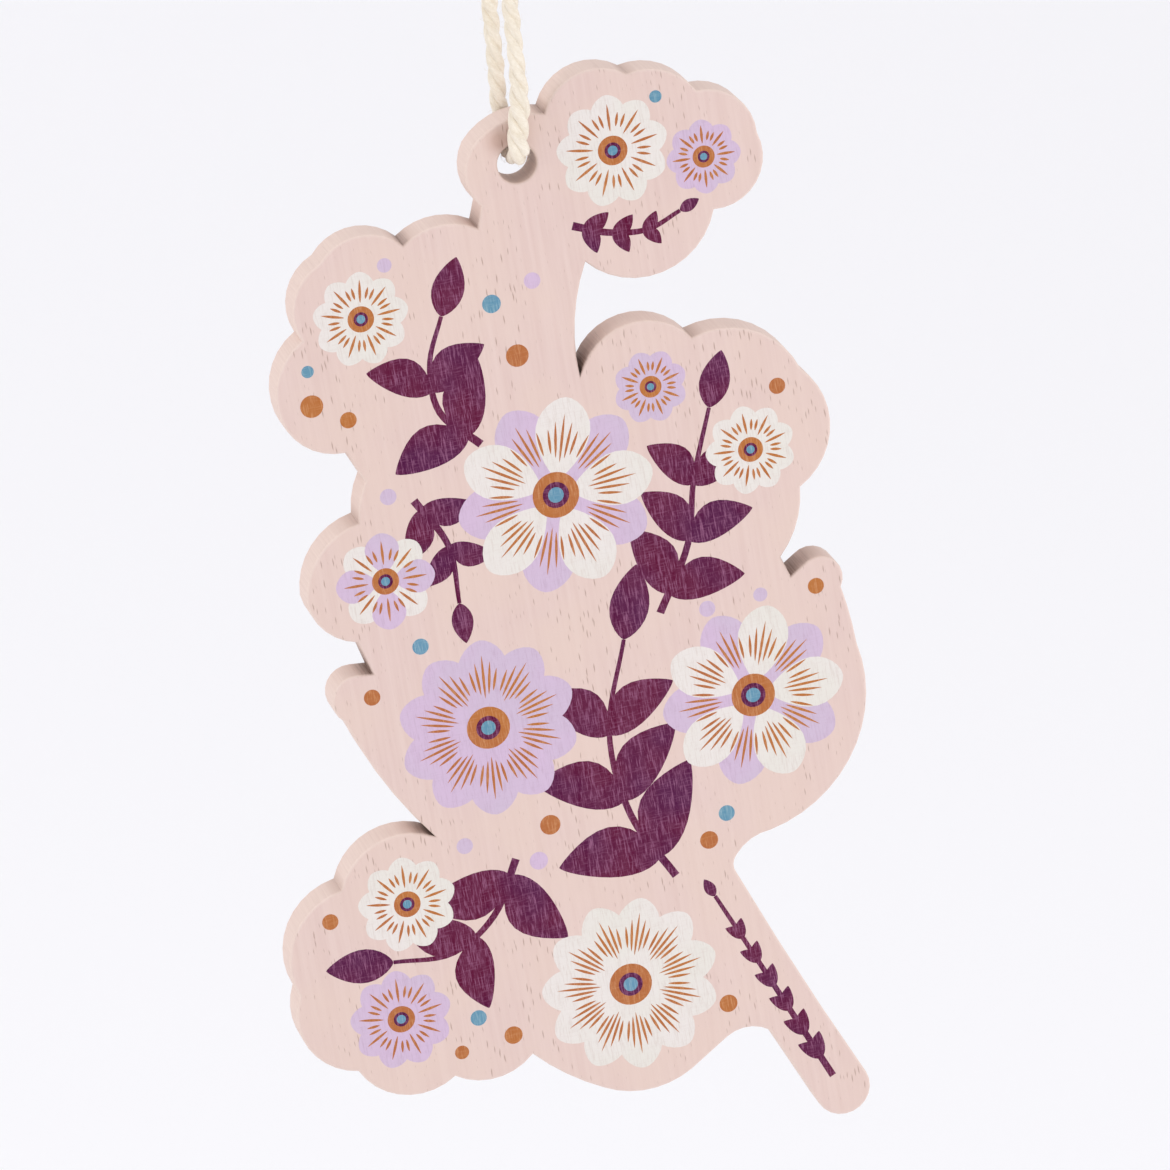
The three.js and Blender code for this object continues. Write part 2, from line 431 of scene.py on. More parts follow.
def mapped(tree, value, low, high, to_low=0.0, to_high=1.0):
    return result(tree, "ShaderNodeMapRange", {"Value": value, "From Min": low, "From Max": high,
                                               "To Min": to_low, "To Max": to_high})


def stored(tree, name, kind="FLOAT"):
    return result(tree, "GeometryNodeInputNamedAttribute", {"Name": name}, data_type=kind)


def round_section(tree, sides, radius):
    return result(tree, "GeometryNodeCurvePrimitiveCircle", {"Resolution": sides, "Radius": radius})


def random_number(tree, low, high, seed):
    return add_node(tree, "FunctionNodeRandomValue", {2: low, 3: high, "Seed": seed},
                    data_type="FLOAT").outputs[1]


def joined(tree, shapes):
    join = add_node(tree, "GeometryNodeJoinGeometry")
    for shape in shapes:
        tree.links.new(shape, join.inputs[0])
    return join.outputs[0]


def wound_plies(tree, line, sizes):
    """The plies about a line. Each stores the way round itself as ply_around."""
    side_way = stored(tree, "side", "FLOAT_VECTOR")
    travelled = stored(tree, "twine_along")
    across = vector_calc(tree, "CROSS_PRODUCT", result(tree, "GeometryNodeInputTangent"), side_way)
    turns = calc(tree, "DIVIDE", travelled, sizes["Pitch"])
    offset = times(tree, stored(tree, "spread"), sizes["Ply offset"])
    lumps = add_node(tree, "ShaderNodeTexNoise",
                     {"W": travelled, "Scale": LUMPS_PER_METRE, "Detail": 1.0},
                     noise_dimensions="1D").outputs["Fac"]
    thick = times(tree, mapped(tree, lumps, 0, 1, *PLY_THICKNESS), stored(tree, "fullness"))
    around = add_node(tree, "GeometryNodeSplineParameter").outputs["Factor"]
    section = result(tree, "GeometryNodeStoreNamedAttribute",
                     {"Geometry": round_section(tree, PLY_SIDES, sizes["Ply radius"]),
                      "Name": "ply_around", "Value": around}, data_type="FLOAT", domain="POINT")
    swept = []
    for ply in range(PLY_COUNT):
        angle = calc(tree, "MULTIPLY_ADD", turns, -2 * math.pi, 2 * math.pi * ply / PLY_COUNT)
        way = vector_calc(tree, "ADD", scaled(tree, side_way, calc(tree, "COSINE", angle)),
                          scaled(tree, across, calc(tree, "SINE", angle)))
        moved = result(tree, "GeometryNodeSetPosition",
                       {"Geometry": line, "Offset": scaled(tree, way, offset)})
        swept.append(result(tree, "GeometryNodeCurveToMesh",
                            {"Curve": moved, "Profile Curve": section, "Scale": thick,
                             "Fill Caps": True}))
    return result(tree, "GeometryNodeSetShadeSmooth", {"Geometry": joined(tree, swept)})


def loose_fibres(tree, surface, sizes):
    """Short bent fibres that stand on a surface, no two with the same length and way."""
    points = add_node(tree, "GeometryNodeDistributePointsOnFaces",
                      {"Mesh": surface, "Density": sizes["Fibres per area"], "Seed": 4}).outputs
    bend = result(tree, "GeometryNodeCurveQuadraticBezier", {"Resolution": 4, **FIBRE_BEND})
    reach = combined(tree, **{axis: sizes["Fibre reach"] for axis in "XYZ"})
    bend = result(tree, "GeometryNodeTransform", {"Geometry": bend, "Scale": reach})
    fibre = result(tree, "GeometryNodeCurveToMesh",
                   {"Curve": bend, "Fill Caps": True,
                    "Profile Curve": round_section(tree, FIBRE_SIDES, FIBRE_RADIUS)})
    standing = result(tree, "GeometryNodeInstanceOnPoints",
                      {"Points": points["Points"], "Instance": fibre, "Rotation": points["Rotation"],
                       "Scale": random_number(tree, *FIBRE_LENGTHS, 7)})
    spin = combined(tree, Z=random_number(tree, 0.0, 2 * math.pi, 9))
    return result(tree, "GeometryNodeRotateInstances", {"Instances": standing, "Rotation": spin})


def twine_tree(material):
    """The tree, and what its inputs for the sizes are called inside a modifier."""
    tree = bpy.data.node_groups.new("twisted_twine", "GeometryNodeTree")
    tree.interface.new_socket("Line", in_out="INPUT", socket_type="NodeSocketGeometry")
    sockets = {name: tree.interface.new_socket(name, in_out="INPUT",
                                               socket_type="NodeSocketFloat").identifier
               for name in TWINE_SIZES}
    tree.interface.new_socket("Twine", in_out="OUTPUT", socket_type="NodeSocketGeometry")
    inside = add_node(tree, "NodeGroupInput").outputs
    line = result(tree, "GeometryNodeMeshToCurve", {"Mesh": inside["Line"]})
    plies = wound_plies(tree, line, inside)
    both = joined(tree, [loose_fibres(tree, plies, inside), plies])
    real = result(tree, "GeometryNodeRealizeInstances", {"Geometry": both})
    done = result(tree, "GeometryNodeSetMaterial", {"Geometry": real, "Material": material})
    add_node(tree, "NodeGroupOutput", {"Twine": done})
    return tree, sockets


# %% [markdown]
# The twine is cream cotton and hemp. Each ply is a bundle of fine fibres that lie nearly along
# it, so the colour and the bump are noise stretched along the ply, read from the values stored
# on the line. Soft fibre scatters light, so it is rough, with a little sheen and no shine.

# %% Twine material
FIBRE_TURNS_PER_METRE = 260.0
FIBRE_STEPS_PER_METRE = 900.0


def new_material(name, values):
    """A material, its tree and its shader, with some of the shader's inputs set."""
    material = bpy.data.materials.new(name)
    material.use_nodes = True
    shader = material.node_tree.nodes["Principled BSDF"]
    for key, value in values.items():
        shader.inputs[key].default_value = value
    return material, material.node_tree, shader


def attribute(tree, name):
    return add_node(tree, "ShaderNodeAttribute", attribute_name=name).outputs["Fac"]


def noise(tree, place, scale, detail, roughness=0.5):
    return add_node(tree, "ShaderNodeTexNoise",
                    {"Vector": place, "Scale": scale, "Detail": detail, "Roughness": roughness}
                    ).outputs["Fac"]


def colour_ramp(tree, value, steps):
    """A ramp with a stop for each pair of a position and a hex colour."""
    ramp = add_node(tree, "ShaderNodeValToRGB", {"Fac": value})
    stops = ramp.color_ramp.elements
    for stop, (position, colour) in zip(stops, (steps[0], steps[-1])):
        stop.position, stop.color = position, linear(colour)
    for position, colour in steps[1:-1]:
        stops.new(position).color = linear(colour)
    return ramp.outputs[0]


def add_bump(tree, shader, height, strength, depth):
    bump = result(tree, "ShaderNodeBump", {"Height": height, "Strength": strength,
                                           "Distance": depth})
    tree.links.new(bump, shader.inputs["Normal"])


def twisted_cotton():
    material, tree, shader = new_material("twisted_cotton_twine", {
        "Roughness": 0.9, "Sheen Weight": 0.25, "Sheen Roughness": 0.5, "Specular IOR Level": 0.2})
    along = attribute(tree, "twine_along")
    turns = calc(tree, "MULTIPLY_ADD", along, FIBRE_TURNS_PER_METRE, attribute(tree, "ply_around"))
    angle = times(tree, turns, 2 * math.pi)
    place = combined(tree, X=calc(tree, "COSINE", angle), Y=calc(tree, "SINE", angle),
                     Z=times(tree, along, FIBRE_STEPS_PER_METRE))
    fibres = noise(tree, place, 5.0, 4.0, 0.65)
    patches = noise(tree, place, 0.8, 1.0)
    tone = calc(tree, "MULTIPLY_ADD", patches, 0.4, times(tree, fibres, 0.6))
    tree.links.new(colour_ramp(tree, tone, [(0.3, "#dccfb9"), (0.68, "#f3ecdf")]),
                   shader.inputs["Base Color"])
    add_bump(tree, shader, fibres, 0.6, 0.05 * MM)
    return material


twist_tree, twist_sockets = twine_tree(twisted_cotton())
print("twine tree:", len(twist_tree.nodes), "nodes, inputs", list(twist_sockets))


# %% Twine pieces
def twine_piece(name, *names):
    """Twisted twine along the named stretches of the whole line, as one plain mesh."""
    every = np.concatenate([np.arange(len(whole))[parts[stretch]] for stretch in names])
    edges = [(i, i + 1) for i in range(len(every) - 1) if every[i + 1] == every[i] + 1]
    mesh = bpy.data.meshes.new(name + "_line")
    mesh.from_pydata(whole[every].tolist(), edges, [])
    side_layer = mesh.attributes.new("side", "FLOAT_VECTOR", "POINT")
    side_layer.data.foreach_set("vector", side[every].ravel())
    for label, values in (("twine_along", before), ("spread", spread), ("fullness", fullness)):
        mesh.attributes.new(label, "FLOAT", "POINT").data.foreach_set("value", values[every])
    source = new_object(name + "_line", mesh)
    modifier = source.modifiers.new("twist", "NODES")
    modifier.node_group = twist_tree
    for size, value in TWINE_SIZES.items():
        modifier[twist_sockets[size]] = value
    piece = baked(source, name)
    piece.data.calc_loop_triangles()
    print(name, len(piece.data.loop_triangles), "triangles")
    return piece


knot = twine_piece("twine_overhand_knot", "front_knot", "rear_knot")
front_twine = twine_piece("twine_front_strand", "front")
loop_twine = twine_piece("twine_lower_loop", "loop")
rear_twine = twine_piece("twine_rear_strand", "rear")
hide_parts("twine_knot", "twine_tail_1", "twine_tail_2")
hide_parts("twine_front_upper")
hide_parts("twine_front_lower", "twine_bight", "twine_rear_lower")
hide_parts("twine_rear_upper")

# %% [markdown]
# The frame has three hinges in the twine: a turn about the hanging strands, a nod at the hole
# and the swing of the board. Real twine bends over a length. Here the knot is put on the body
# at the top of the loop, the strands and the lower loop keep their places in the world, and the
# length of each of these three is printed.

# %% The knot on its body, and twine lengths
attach(knot, "loop_top")
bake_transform(front_twine)
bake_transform(rear_twine)
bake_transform(loop_twine)
for piece, stretch, more in ((front_twine, "front", [knot]), (loop_twine, "loop", []),
                             (rear_twine, "rear", [])):
    line = whole[parts[stretch]]
    line_length(line)
    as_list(more)
    print(piece.name, round(line_length(line) / MM, 1), "mm long")

# %% [markdown]
# The front is printed with inks. The print is a plain scattered pattern of daisies, leafy
# twigs and dots, drawn here from simple rules. A motif is a closed polygon in millimetres with
# an ink and a layer, and a higher layer hides a lower one, as screens are printed one over
# another. Rules of this kind keep every petal even and every edge smooth.

# %% Print shapes
INKS = ["plum", "lavender", "off_white", "ochre", "blue"]
PETAL_START = 0.16
PETAL_SPAN = 0.9
PETAL_FULLNESS = 1.35
PETAL_POINT = 0.55
VEIN_WIDTH = 0.28
VEIN_FULLNESS = 0.9
VEIN_FAN = 0.72
DAISY_EYE = [  # layer, ink, share of the daisy's radius, mm more, points
    (4, "ochre", 0.2, 0.35, 30), (5, "plum", 0.12, 0.14, 20), (6, "blue", 0.07, 0.1, 16),
]
BIG_DAISY = 6
TWIG_POINTS = 61
LEAF_FULLNESS = 0.85
TIP_LEAF = 0.75
motifs = []


def add_motif(layer, ink, polygon):
    motifs.append((layer, INKS.index(ink), np.asarray(polygon)))


def placed(polygon, x, z, turn=0.0):
    c, s = math.cos(turn), math.sin(turn)
    return polygon @ np.array([[c, s], [-s, c]]) + (x, z)


def blade(start, length, width, fullness, bend=0.0, count=15, point=0.8):
    """A leaf or petal along +x. A fullness above 1 puts its widest place nearer its tip, and
    a point of 0.5 rounds the tip where 1 makes it sharp."""
    t = 0.5 - 0.5 * np.cos(np.linspace(0, math.pi, count))
    half = 0.5 * width * np.sin(math.pi * t ** fullness).clip(0) ** point
    middle = bend * length * np.sin(math.pi * t)
    x = start + length * t
    return np.vstack([np.c_[x, middle + half], np.c_[x, middle - half][-2:0:-1]])


def round_dot(radius, count=24):
    turn = np.linspace(0, 2 * math.pi, count, endpoint=False)
    return radius * np.c_[np.cos(turn), np.sin(turn)]


def daisy(x, z, radius, petals, turn, *inks):
    """A daisy. Its petals take the inks in turn, with those of the first ink on top. A big one
    has five veins to a petal, a small one three."""
    beside = 2 if radius > BIG_DAISY else 1
    vein_turn = VEIN_FAN * math.pi / petals / beside
    width = 2 * radius * math.sin(math.pi / petals) * PETAL_SPAN
    petal = blade(PETAL_START * radius, (1 - PETAL_START) * radius, width, PETAL_FULLNESS,
                  point=PETAL_POINT)
    for i in range(petals):
        way = turn + 2 * math.pi * i / petals
        add_motif(1 if i % len(inks) else 2, inks[i % len(inks)], placed(petal, x, z, way))
        for k in range(-beside, beside + 1):
            aside = abs(k) / beside
            vein = blade((0.32 + 0.09 * aside) * radius + 0.1, (0.5 - 0.24 * aside) * radius,
                         VEIN_WIDTH, VEIN_FULLNESS, count=7)
            add_motif(3, "ochre", placed(vein, x, z, way + k * vein_turn))
    for layer, ink, share, more, count in DAISY_EYE:
        add_motif(layer, ink, placed(round_dot(share * radius + more, count), x, z))


def twig(route, pairs, leaf_length, leaf_width, spread=0.8, thick=0.8, thin=0.4):
    """A twig along a route, with one leaf at its tip and pairs of leaves that start a tenth of
    the way along and shrink towards the tip."""
    flat_route = np.c_[np.array(route), np.zeros(len(route))]
    line = evenly(smooth_line(flat_route, 0.3), TWIG_POINTS)[:, :2]
    way = unit(np.gradient(line, axis=0))
    half = 0.5 * np.linspace(thick, thin, len(line))[:, None] * np.c_[-way[:, 1], way[:, 0]]
    add_motif(0, "plum", np.vstack([(line + half)[::3], (line - half)[::-3]]))

    def add_leaf(at, size, bend=0.0, aside=0.0):
        leaf = blade(0, leaf_length * size, leaf_width * size, LEAF_FULLNESS, bend)
        lean = math.atan2(way[at, 1], way[at, 0])
        add_motif(0, "plum", placed(leaf, *line[at], lean + aside))

    for pair in range(pairs):
        at = int((0.1 + 0.8 * pair / pairs) * (len(line) - 1))
        for hand in (1, -1):
            add_leaf(at, 1 - 0.3 * pair / pairs, -0.1 * hand, hand * spread)
    add_leaf(-1, TIP_LEAF)


def dots(ink, *places):
    for x, z, radius in places:
        add_motif(2, ink, placed(round_dot(radius), x, z))


# %% [markdown]
# The layout is set so that each lobe of the board gets something and no motif comes
# nearer to an edge or to the hole than a printer's safe margin. Big daisies take the wide
# places, twigs lead from one to the next, and small daisies and dots fill the gaps.

# %% Print layout, in mm from the origin
daisy(0.2, -98.6, 9.6, 10, 0.10, "off_white", "lavender")
daisy(-8.8, -120.4, 8.8, 10, 0.30, "lavender")
daisy(17.2, -121.8, 9.0, 10, 0.05, "off_white", "lavender")
daisy(2.2, -148.8, 8.8, 11, 0.20, "off_white")
daisy(9.2, -66.2, 5.4, 9, 0.20, "off_white")
daisy(17.8, -68.2, 3.6, 8, 0.00, "lavender")
daisy(-16.4, -78.4, 4.6, 9, 0.10, "off_white")
daisy(-17.0, -104.2, 4.8, 8, 0.00, "lavender", "off_white")
daisy(19.4, -97.4, 4.4, 9, 0.30, "off_white")
daisy(10.4, -89.6, 3.6, 8, 0.30, "lavender")
daisy(-20.5, -148.1, 5.0, 9, 0.20, "lavender")
daisy(-18.6, -136.6, 4.8, 9, 0.20, "off_white")
twig([(4.6, -72.8), (8.0, -74.0), (11.8, -74.3), (15.0, -73.0)], 3, 2.8, 1.6)
twig([(-6.4, -92.4), (-10.0, -88.6), (-10.4, -83.8), (-8.8, -79.4)], 2, 7.8, 4.2, 1.05)
twig([(9.0, -112.0), (12.4, -105.6), (13.6, -99.4), (15.8, -92.6)], 3, 7.6, 4.0, 0.95)
twig([(7.8, -138.6), (4.0, -131.6), (2.8, -123.0), (5.2, -114.0)], 3, 10.0, 5.2, 0.95)
twig([(-7.6, -134.0), (-10.4, -139.4), (-14.8, -142.4), (-20.6, -142.2)], 2, 8.8, 4.6, 1.0)
twig([(21.2, -162.0), (17.7, -154.6), (14.1, -147.0), (11.4, -141.4)], 6, 2.8, 1.5, 0.45, 0.7)
twig([(-13.4, -96.8), (-10.6, -101.8), (-10.2, -107.6)], 2, 5.4, 2.8, 0.95)
dots("ochre", (-22.0, -86.0, 1.1), (-18.7, -87.9, 0.8), (-2.0, -84.4, 1.1), (22.6, -91.6, 0.8),
     (-3.9, -131.2, 1.0), (11.4, -135.6, 0.9), (-9.8, -151.8, 0.9), (11.6, -152.6, 0.9),
     (-26.2, -137.0, 0.8), (24.4, -112.0, 0.8), (-19.6, -115.4, 0.8), (-15.0, -152.6, 0.7))
dots("blue", (-3.9, -79.0, 0.9), (-14.4, -111.2, 0.8), (13.4, -133.2, 0.8), (-13.0, -149.4, 0.8),
     (13.8, -61.7, 0.6), (-22.0, -82.6, 0.6))
dots("lavender", (-15.8, -96.0, 0.8), (-5.4, -134.6, 0.9), (13.6, -112.4, 0.8),
     (-12.4, -131.8, 0.8), (18.9, -111.9, 0.7), (0.2, -77.4, 0.8), (-13.6, -73.6, 0.7))
print("motifs in the print:", len(motifs))

# %% [markdown]
# The board is 4 mm plywood: three veneers glued face to face. Their CAD solids have the right
# outline but flat facets, so each is made again from that outline, with a rounded arris on
# both faces and smooth walls. The outline is read from the frame, not typed in again.

# %% Outline of the board
SAME_PLACE = 0.001 * MM


def outline_loops(node, depth):
    """The closed loops of a node's rim on the plane y = depth, longest first, as x, z rows."""
    bm = bmesh.new()
    bm.from_mesh(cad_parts[node].data)
    bmesh.ops.remove_doubles(bm, verts=bm.verts, dist=SAME_PLACE)
    bm.normal_update()
    follow = {}
    for edge in bm.edges:
        if all(abs(v.co.y - depth) < SAME_PLACE for v in edge.verts):
            if sum(abs(face.normal.y) > 0.5 for face in edge.link_faces) == 1:
                for a, b in (edge.verts, reversed(edge.verts)):
                    follow.setdefault(a, []).append(b)
    loops = []
    while follow:
        at = next(iter(follow))
        loop, last = [], None
        while at in follow:
            loop.append((at.co.x, at.co.z))
            ways = follow.pop(at)
            last, at = at, ways[0] if ways[0] is not last else ways[1]
        loops.append(np.array(loop))
    bm.free()
    return sorted(loops, key=len, reverse=True)


def signed_area(loop):
    x, z = np.asarray(loop).T
    return 0.5 * float(np.sum(x * np.roll(z, -1) - np.roll(x, -1) * z))


def wound(loop, way):
    """The loop, reversed if need be, so that its area has the sign of way."""
    return loop if signed_area(loop) * way > 0 else loop[::-1]


glue_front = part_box("core_veneer")[0].y
glue_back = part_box("core_veneer")[1].y
face_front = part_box("front_veneer")[0].y
face_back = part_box("back_veneer")[1].y
edge_loop, hole_loop = outline_loops("core_veneer", glue_front)
edge_loop, hole_loop = wound(edge_loop, -1), wound(hole_loop, 1)
hole_centre = hole_loop.mean(axis=0)
print("outline points:", len(edge_loop), "hole points:", len(hole_loop))

# %% [markdown]
# A laser scorches wood most where it turns a sharp corner, and smoke stains the walls beside
# it. Each place is a point on the outline with a reach and a strength. The amount is stored
# on the mesh as an attribute, full on the walls and nothing on the faces, for the material.

# %% Scorch on the cut edge
SCORCHES = [  # x and z from the hole, reach, all in mm, and strength
    (3.8, -21.4, 6.6, 0.9), (5.5, -10.5, 2.4, 0.25), (-4.2, -5.2, 1.9, 0.65),
    (-11.6, -6.0, 1.6, 0.6), (3.1, 4.4, 1.2, 0.5), (11.3, 6.9, 1.4, 0.25),
    (14.9, -19.5, 1.6, 0.3), (22.1, -44.6, 5.4, 0.75), (-20.6, -45.3, 3.4, 0.2),
    (-19.3, -47.1, 1.2, 0.85), (-15.2, -64.3, 3.2, 0.9), (-19.3, -25.1, 1.6, 0.15),
    (-18.9, -32.1, 2.0, 0.3), (-24.8, -68.1, 1.2, 0.25),
]
SCORCH_FALLOFF = 1.5
HOLE_SCORCH = 0.23


def wall_scorch(loop):
    places = np.array(SCORCHES)
    away = np.linalg.norm(loop[:, None] - (hole_centre + places[None, :, :2] * MM), axis=2)
    near = np.clip(1 - away / (places[:, 2] * MM), 0, 1)
    return (near ** SCORCH_FALLOFF * places[:, 3]).max(axis=1)


# %% [markdown]
# Each veneer is a stack of rings, one behind the other, that follow the outline and the hole.
# The rings of an arris step inwards on a quarter circle. On the front, a constrained
# triangulation cuts the flat face along every motif's edge, so each bit of it gets one ink
# and the print lies in the surface, with nothing floating above it.

# %% Veneers
ARRIS_RADIUS = 0.3 * MM
ARRIS_STEPS = 5
MITRE_LIMIT = 1.5
SHARP_ANGLE = math.radians(32)
WHOLE_TRIANGULATION = 0
MERGED_WITHIN = 1e-5


def inward(loop):
    """For each point, the step into the material that moves both of its sides by one unit."""
    before_side = unit(loop - np.roll(loop, 1, axis=0))
    after_side = unit(np.roll(loop, -1, axis=0) - loop)
    both = before_side + after_side
    normal = unit(np.c_[both[:, 1], -both[:, 0]])
    mitre = 1 / np.sqrt((1 + np.sum(before_side * after_side, axis=1)) / 2)
    return normal * np.minimum(mitre, MITRE_LIMIT)[:, None]


def arris(face, direction):
    """Rings of a rounded corner: y, inset, share of scorch, and share of thin paint with a painted
    highlight.
    """
    rings = []
    for i in range(ARRIS_STEPS + 1):
        angle = 0.5 * math.pi * i / ARRIS_STEPS
        y = face - direction * ARRIS_RADIUS * (1 - math.sin(angle))
        # The last value peaks halfway round the arris. It marks a paler line there, partly thin
        # paint and partly a painted highlight.
        rings.append((y, ARRIS_RADIUS * (1 - math.cos(angle)), math.cos(angle) ** 2,
                      math.sin(2 * angle) ** 2))
    return rings


def fill_printed(bm, row, y):
    """Fills between the rim and the hole, cut along the motifs, with an ink on each face."""
    rims = [v for ring in row for v in ring]
    spots = [Vector((v.co.x, v.co.z)) / MM for v in rims]
    areas, taken = [], 0
    for ring in row:
        area = list(range(taken, taken + len(ring)))
        taken += len(ring)
        areas.append(area if signed_area([spots[i] for i in area]) > 0 else area[::-1])
    for _, _, polygon in motifs:
        areas.append(list(range(len(spots), len(spots) + len(polygon))))
        spots += [Vector(point) for point in wound(polygon, 1)]
    places, _, cells, from_spots, _, from_areas = delaunay_2d_cdt(
        spots, [], areas, WHOLE_TRIANGULATION, MERGED_WITHIN)
    made = []
    for place, sources in zip(places, from_spots):
        rim = [i for i in sources if i < len(rims)]
        made.append(rims[rim[0]] if rim else bm.verts.new((place.x * MM, y, place.y * MM)))
    for cell, owners in zip(cells, from_areas):
        if 0 in owners and 1 not in owners:
            face = bm.faces.new([made[i] for i in cell])
            top = max((motifs[i - 2] for i in owners if i > 1), key=lambda m: m[0], default=None)
            face.material_index = 1 + top[1] if top else 0


def veneer(name, rings, printed=False):
    """A closed sheet with a hole, from rings of (y, inset, share of scorch, share of thin paint and
    painted highlight).
    """
    loops = [(edge_loop, inward(edge_loop), wall_scorch(edge_loop)),
             (hole_loop, inward(hole_loop), np.full(len(hole_loop), HOLE_SCORCH))]
    bm = bmesh.new()
    scorch_layer = bm.verts.layers.float.new("scorch")
    wear_and_highlight_layer = bm.verts.layers.float.new("wear_and_highlight")
    rows = []
    for y, inset, share, wear_and_highlight in rings:
        row = []
        for loop, step, scorch in loops:
            row.append([bm.verts.new((x, y, z)) for x, z in loop + step * inset])
            for vert, amount in zip(row[-1], scorch * share):
                vert[scorch_layer], vert[wear_and_highlight_layer] = amount, wear_and_highlight
        rows.append(row)
    for near, far in zip(rows, rows[1:]):
        for ring, next_ring in zip(near, far):
            for i in range(len(ring)):
                bm.faces.new((ring[i - 1], ring[i], next_ring[i], next_ring[i - 1]))
    for row in (rows[0], rows[-1]):
        if printed and row is rows[0]:
            fill_printed(bm, row, rings[0][0])
        else:
            rims = [bm.edges.get((ring[i], ring[i - 1])) for ring in row for i in range(len(ring))]
            bmesh.ops.triangle_fill(bm, edges=rims, use_beauty=True)
    bmesh.ops.recalc_face_normals(bm, faces=bm.faces)
    for face in bm.faces:
        face.smooth = True
    mesh = bpy.data.meshes.new(name)
    bm.to_mesh(mesh)
    bm.free()
    mesh.set_sharp_from_angle(angle=SHARP_ANGLE)
    source = new_object(name + "_rough", mesh)
    weighted = source.modifiers.new("weighted", "WEIGHTED_NORMAL")
    weighted.mode = "FACE_AREA"
    weighted.keep_sharp = True
    piece = baked(source, name)
    print(name, len(piece.data.polygons), "faces")
    return piece


front_board = veneer("front_veneer_printed", arris(face_front, -1)[::-1] + [(glue_front, 0, 1, 0)],
                     printed=True)
core_board = veneer("core_veneer_painted", [(glue_front, 0, 1, 0), (glue_back, 0, 1, 0)])
back_board = veneer("back_veneer_painted", [(glue_back, 0, 1, 0)] + arris(face_back, 1))

# %% [markdown]
# The wood is birch, painted with one thin coat of pale matt pink, so its open pores still show
# as fine short dark marks that run with the grain, nearly upright. Voronoi cells, drawn out
# along the grain, hold one mark each: the distance to the cell's point gives a thin streak, the
# cell's own random value makes it dark, faint or absent, and slow noise gathers the marks in
# patches. The same marks drive a small bump. The cut walls show no pores. They are a little
# paler, with fine lines across their thickness from the laser's pulses, and scorch darkens
# them in places to nearly black.

# %% Wood grain for all coats
GRAIN_LEAN = math.radians(3.5)
GRAIN_DEPTH_SHARE = 0.3
GRAIN_ROUGHNESS = 0.55
PORE_WIDTH = 0.15 * MM
PORE_LENGTH = 1.1 * MM
PORE_SPACING = 0.38 * MM
PORE_PATCH = 6 * MM
PORE_WAVER = 0.5
STREAK_WIDTH = 0.45 * MM
STREAK_LENGTH = 12 * MM
GRAIN_BUMP = 0.04 * MM


def on_grain(tree, across, along):
    """The place on the wood, in steps across the grain and steps along it."""
    place = result(tree, "ShaderNodeVectorRotate",
                   {"Vector": add_node(tree, "ShaderNodeTexCoord").outputs["Object"],
                    "Axis": (0, 1, 0), "Angle": GRAIN_LEAN}, rotation_type="AXIS_ANGLE")
    return vector_calc(tree, "MULTIPLY", place,
                       (1 / across, GRAIN_DEPTH_SHARE / across, 1 / along))


def grain_noise(tree, across, along, detail, low, high):
    """Noise drawn out along the grain, 0 below low and 1 above high."""
    drawn_out = noise(tree, on_grain(tree, across, along), 1.0, detail, GRAIN_ROUGHNESS)
    return mapped(tree, drawn_out, low, high)


def mixed(tree, share, first, second, blend="MIX"):
    """A colour mix: share is a number or a socket, and the colours are tuples or sockets."""
    return add_node(tree, "ShaderNodeMix", {0: share, 6: first, 7: second},
                    data_type="RGBA", blend_type=blend).outputs[2]


def open_pores(tree):
    """Thin marks along the grain, 1 in the darkest and 0 between them."""
    place = add_node(tree, "ShaderNodeSeparateXYZ", {0: on_grain(
        tree, PORE_SPACING, PORE_SPACING * PORE_LENGTH / PORE_WIDTH)}).outputs
    waver = noise(tree, on_grain(tree, 4 * PORE_SPACING, PORE_LENGTH), 1.0, 2.0)
    across = calc(tree, "MULTIPLY_ADD", waver, PORE_WAVER, place["X"])
    cell = add_node(tree, "ShaderNodeTexVoronoi",
                    {"Vector": combined(tree, X=across, Y=place["Z"]), "Scale": 1.0},
                    voronoi_dimensions="2D").outputs
    chance = result(tree, "ShaderNodeSeparateXYZ", {0: cell["Color"]})
    patches = grain_noise(tree, PORE_PATCH, 2 * PORE_PATCH, 2.0, 0.42, 0.6)
    strength = times(tree, mapped(tree, chance, 0.2, 0.7), mapped(tree, patches, 0, 1, 0.4, 1.0))
    half = 0.5 * PORE_WIDTH / PORE_SPACING
    inside = calc(tree, "SUBTRACT", times(tree, strength, half), cell["Distance"])
    return mapped(tree, inside, 0, 0.6 * half)


def coat(name, roughness, shine):
    """A new material for a thin coat on wood, with the pores and streaks of the grain."""
    material, tree, shader = new_material(name, {"Roughness": roughness,
                                                 "Specular IOR Level": shine})
    pores = open_pores(tree)
    streaks = grain_noise(tree, STREAK_WIDTH, STREAK_LENGTH, 3.0, 0.3, 0.7)
    height = calc(tree, "MULTIPLY_ADD", pores, -1.0, times(tree, streaks, 0.5))
    add_bump(tree, shader, height, 0.5, GRAIN_BUMP)
    return material, tree, shader, pores, streaks


# %% [markdown]
# The paint itself is pale pink with slow clouds. It is paler along the middle of the arris,
# partly where the paint is thin and partly as a painted highlight, and a painted brown shadow
# of the front strand darkens it just above and left of the hole. Walls and faces are told apart
# by their normals.

# %% Pink paint
CLOUDS_PER_METRE = 140.0
PULSE_WIDTH = 0.18 * MM
PULSE_STEPS_THROUGH = 150
# Where and how wide the painted shadow of the front strand lies beside the hole.
TWINE_SHADOW_SHIFT = (-1.5 * MM, 2.5 * MM)
TWINE_SHADOW_REACH = 2.0 * MM
TWINE_SHADOW_CORE = 0.5 * MM
BURN_STEPS = [(0.0, "#ffffff"), (0.15, "#f0ecea"), (0.4, "#cfc9c7"), (0.65, "#afa5a1"),
              (0.85, "#7f736e"), (1.0, "#30282a")]


